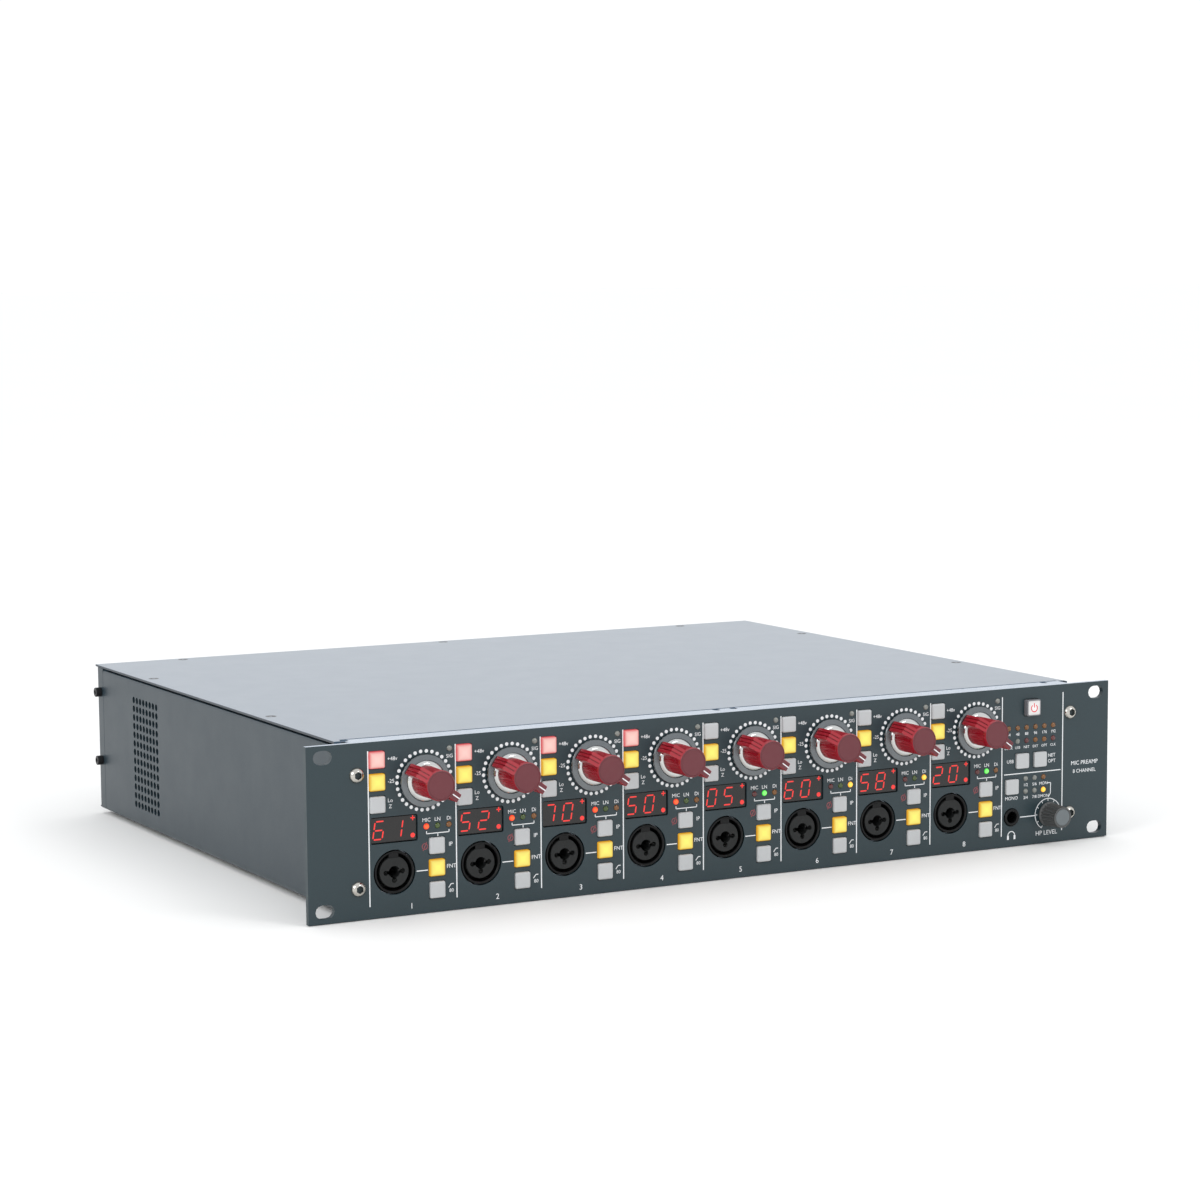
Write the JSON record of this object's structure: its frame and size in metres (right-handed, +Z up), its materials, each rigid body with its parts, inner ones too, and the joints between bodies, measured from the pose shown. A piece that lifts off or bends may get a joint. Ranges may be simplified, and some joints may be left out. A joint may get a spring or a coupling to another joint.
{
  "type": "microphone preamp",
  "caption": "Rack-mount microphone preamp: a wide slate panel of winged red gain knobs, lit square buttons, numeric displays and combo sockets on a deep steel case.",
  "frame": {"origin": "bottom centre of the bounding box, level with the front panel's lower edge", "axes": "+X to the right seen from the front, +Y to the rear, +Z up"},
  "size_m": [0.4826, 0.4032, 0.0881],
  "materials": {
    "panel_paint": "fine satin slate paint with white print",
    "case_paint": "grey powder coat",
    "card_plate_paint": "matt black paint with white print",
    "board": "green solder mask on glass-epoxy board",
    "bare_metal": "bare sheet",
    "connector_shell": "tin-plated shell",
    "black_plastic": "moulded, fine texture",
    "grey_plastic": "moulded",
    "nickel": "nickel plate",
    "blue_plastic": "moulded",
    "red_knob": "deep red moulding on a satin metal skirt",
    "translucent_cap": "frosted translucent cap, some lit from behind"
  },
  "bodies": {
    "chassis": {"front_panel": "panel_paint", "sub_panel": "case_paint", "case_tray": "case_paint", "top_cover": "case_paint", "rear_panel": "case_paint", "control_board": "board", "main_board": "board", "power_supply": "bare_metal", "combo_socket_1": "black_plastic", "combo_socket_2": "black_plastic", "combo_socket_3": "black_plastic", "combo_socket_4": "black_plastic", "combo_socket_5": "black_plastic", "combo_socket_6": "black_plastic", "combo_socket_7": "black_plastic", "combo_socket_8": "black_plastic", "headphone_jack": "black_plastic", "mains_inlet": "black_plastic", "multiway_connector_1": "connector_shell", "multiway_connector_2": "connector_shell", "multiway_connector_3": "connector_shell"},
    "option_card": {"card_plate": "card_plate_paint", "card_board": "board", "din_connector": "grey_plastic", "bnc_socket": "nickel", "usb_socket": "connector_shell", "optical_output_1": "grey_plastic", "optical_output_2": "grey_plastic", "optical_input": "black_plastic"},
    "gain_knob_1": {"gain_knob_1": "red_knob"},
    "gain_knob_2": {"gain_knob_2": "red_knob"},
    "gain_knob_3": {"gain_knob_3": "red_knob"},
    "gain_knob_4": {"gain_knob_4": "red_knob"},
    "gain_knob_5": {"gain_knob_5": "red_knob"},
    "gain_knob_6": {"gain_knob_6": "red_knob"},
    "gain_knob_7": {"gain_knob_7": "red_knob"},
    "gain_knob_8": {"gain_knob_8": "red_knob"},
    "left_buttons_1": {"left_buttons_1": "translucent_cap"},
    "right_buttons_1": {"right_buttons_1": "translucent_cap"},
    "left_buttons_2": {"left_buttons_2": "translucent_cap"},
    "right_buttons_2": {"right_buttons_2": "translucent_cap"},
    "left_buttons_3": {"left_buttons_3": "translucent_cap"},
    "right_buttons_3": {"right_buttons_3": "translucent_cap"},
    "left_buttons_4": {"left_buttons_4": "translucent_cap"},
    "right_buttons_4": {"right_buttons_4": "translucent_cap"},
    "left_buttons_5": {"left_buttons_5": "translucent_cap"},
    "right_buttons_5": {"right_buttons_5": "translucent_cap"},
    "left_buttons_6": {"left_buttons_6": "translucent_cap"},
    "right_buttons_6": {"right_buttons_6": "translucent_cap"},
    "left_buttons_7": {"left_buttons_7": "translucent_cap"},
    "right_buttons_7": {"right_buttons_7": "translucent_cap"},
    "left_buttons_8": {"left_buttons_8": "translucent_cap"},
    "right_buttons_8": {"right_buttons_8": "translucent_cap"},
    "power_button": {"power_button": "translucent_cap"},
    "usb_button": {"usb_button": "translucent_cap"},
    "network_button": {"network_button": "translucent_cap"},
    "mono_button": {"mono_button": "translucent_cap"},
    "headphone_level_knob": {"headphone_level_knob": "grey_plastic"},
    "mains_rocker": {"mains_rocker": "black_plastic"},
    "sync_switch": {"sync_switch": "blue_plastic"}
  },
  "joints": [
    {"name": "gain_turn_1", "type": "hinge", "parent": "chassis", "child": "gain_knob_1", "pos_m": [-0.1786, -0.18165, 0.0667], "axis": [0, 1, 0], "continuous": true},
    {"name": "gain_turn_2", "type": "hinge", "parent": "chassis", "child": "gain_knob_2", "pos_m": [-0.13135, -0.18165, 0.0667], "axis": [0, 1, 0], "continuous": true},
    {"name": "gain_turn_3", "type": "hinge", "parent": "chassis", "child": "gain_knob_3", "pos_m": [-0.0841, -0.18165, 0.0667], "axis": [0, 1, 0], "continuous": true},
    {"name": "gain_turn_4", "type": "hinge", "parent": "chassis", "child": "gain_knob_4", "pos_m": [-0.03685, -0.18165, 0.0667], "axis": [0, 1, 0], "continuous": true},
    {"name": "gain_turn_5", "type": "hinge", "parent": "chassis", "child": "gain_knob_5", "pos_m": [0.0104, -0.18165, 0.0667], "axis": [0, 1, 0], "continuous": true},
    {"name": "gain_turn_6", "type": "hinge", "parent": "chassis", "child": "gain_knob_6", "pos_m": [0.05765, -0.18165, 0.0667], "axis": [0, 1, 0], "continuous": true},
    {"name": "gain_turn_7", "type": "hinge", "parent": "chassis", "child": "gain_knob_7", "pos_m": [0.1049, -0.18165, 0.0667], "axis": [0, 1, 0], "continuous": true},
    {"name": "gain_turn_8", "type": "hinge", "parent": "chassis", "child": "gain_knob_8", "pos_m": [0.15215, -0.18165, 0.0667], "axis": [0, 1, 0], "continuous": true},
    {"name": "left_press_1", "type": "slide", "parent": "chassis", "child": "left_buttons_1", "axis": [0, 1, 0], "range_m": [0, 0.001], "stiffness_N_per_m": 900, "springref_m": -0.001},
    {"name": "right_press_1", "type": "slide", "parent": "chassis", "child": "right_buttons_1", "axis": [0, 1, 0], "range_m": [0, 0.001], "stiffness_N_per_m": 900, "springref_m": -0.001},
    {"name": "left_press_2", "type": "slide", "parent": "chassis", "child": "left_buttons_2", "axis": [0, 1, 0], "range_m": [0, 0.001], "stiffness_N_per_m": 900, "springref_m": -0.001},
    {"name": "right_press_2", "type": "slide", "parent": "chassis", "child": "right_buttons_2", "axis": [0, 1, 0], "range_m": [0, 0.001], "stiffness_N_per_m": 900, "springref_m": -0.001},
    {"name": "left_press_3", "type": "slide", "parent": "chassis", "child": "left_buttons_3", "axis": [0, 1, 0], "range_m": [0, 0.001], "stiffness_N_per_m": 900, "springref_m": -0.001},
    {"name": "right_press_3", "type": "slide", "parent": "chassis", "child": "right_buttons_3", "axis": [0, 1, 0], "range_m": [0, 0.001], "stiffness_N_per_m": 900, "springref_m": -0.001},
    {"name": "left_press_4", "type": "slide", "parent": "chassis", "child": "left_buttons_4", "axis": [0, 1, 0], "range_m": [0, 0.001], "stiffness_N_per_m": 900, "springref_m": -0.001},
    {"name": "right_press_4", "type": "slide", "parent": "chassis", "child": "right_buttons_4", "axis": [0, 1, 0], "range_m": [0, 0.001], "stiffness_N_per_m": 900, "springref_m": -0.001},
    {"name": "left_press_5", "type": "slide", "parent": "chassis", "child": "left_buttons_5", "axis": [0, 1, 0], "range_m": [0, 0.001], "stiffness_N_per_m": 900, "springref_m": -0.001},
    {"name": "right_press_5", "type": "slide", "parent": "chassis", "child": "right_buttons_5", "axis": [0, 1, 0], "range_m": [0, 0.001], "stiffness_N_per_m": 900, "springref_m": -0.001},
    {"name": "left_press_6", "type": "slide", "parent": "chassis", "child": "left_buttons_6", "axis": [0, 1, 0], "range_m": [0, 0.001], "stiffness_N_per_m": 900, "springref_m": -0.001},
    {"name": "right_press_6", "type": "slide", "parent": "chassis", "child": "right_buttons_6", "axis": [0, 1, 0], "range_m": [0, 0.001], "stiffness_N_per_m": 900, "springref_m": -0.001},
    {"name": "left_press_7", "type": "slide", "parent": "chassis", "child": "left_buttons_7", "axis": [0, 1, 0], "range_m": [0, 0.001], "stiffness_N_per_m": 900, "springref_m": -0.001},
    {"name": "right_press_7", "type": "slide", "parent": "chassis", "child": "right_buttons_7", "axis": [0, 1, 0], "range_m": [0, 0.001], "stiffness_N_per_m": 900, "springref_m": -0.001},
    {"name": "left_press_8", "type": "slide", "parent": "chassis", "child": "left_buttons_8", "axis": [0, 1, 0], "range_m": [0, 0.001], "stiffness_N_per_m": 900, "springref_m": -0.001},
    {"name": "right_press_8", "type": "slide", "parent": "chassis", "child": "right_buttons_8", "axis": [0, 1, 0], "range_m": [0, 0.001], "stiffness_N_per_m": 900, "springref_m": -0.001},
    {"name": "power_press", "type": "slide", "parent": "chassis", "child": "power_button", "axis": [0, 1, 0], "range_m": [0, 0.0015], "stiffness_N_per_m": 900, "springref_m": -0.001},
    {"name": "usb_press", "type": "slide", "parent": "chassis", "child": "usb_button", "axis": [0, 1, 0], "range_m": [0, 0.001], "stiffness_N_per_m": 900, "springref_m": -0.001},
    {"name": "network_press", "type": "slide", "parent": "chassis", "child": "network_button", "axis": [0, 1, 0], "range_m": [0, 0.001], "stiffness_N_per_m": 900, "springref_m": -0.001},
    {"name": "mono_press", "type": "slide", "parent": "chassis", "child": "mono_button", "axis": [0, 1, 0], "range_m": [0, 0.001], "stiffness_N_per_m": 900, "springref_m": -0.001},
    {"name": "headphone_level_turn", "type": "hinge", "parent": "chassis", "child": "headphone_level_knob", "pos_m": [0.2007, -0.18165, 0.0161], "axis": [0, 1, 0], "range_deg": [-150, 150]},
    {"name": "mains_rocker_tilt", "type": "hinge", "parent": "chassis", "child": "mains_rocker", "pos_m": [-0.1713, 0.18715, 0.059], "axis": [1, 0, 0], "range_deg": [0, 16]},
    {"name": "option_card_slide", "type": "slide", "parent": "chassis", "child": "option_card", "axis": [0, 1, 0], "range_m": [0, 0.19]},
    {"name": "sync_press", "type": "slide", "parent": "option_card", "child": "sync_switch", "axis": [0, -1, 0], "range_m": [0, 0.0015], "stiffness_N_per_m": 500, "springref_m": -0.001}
  ]
}
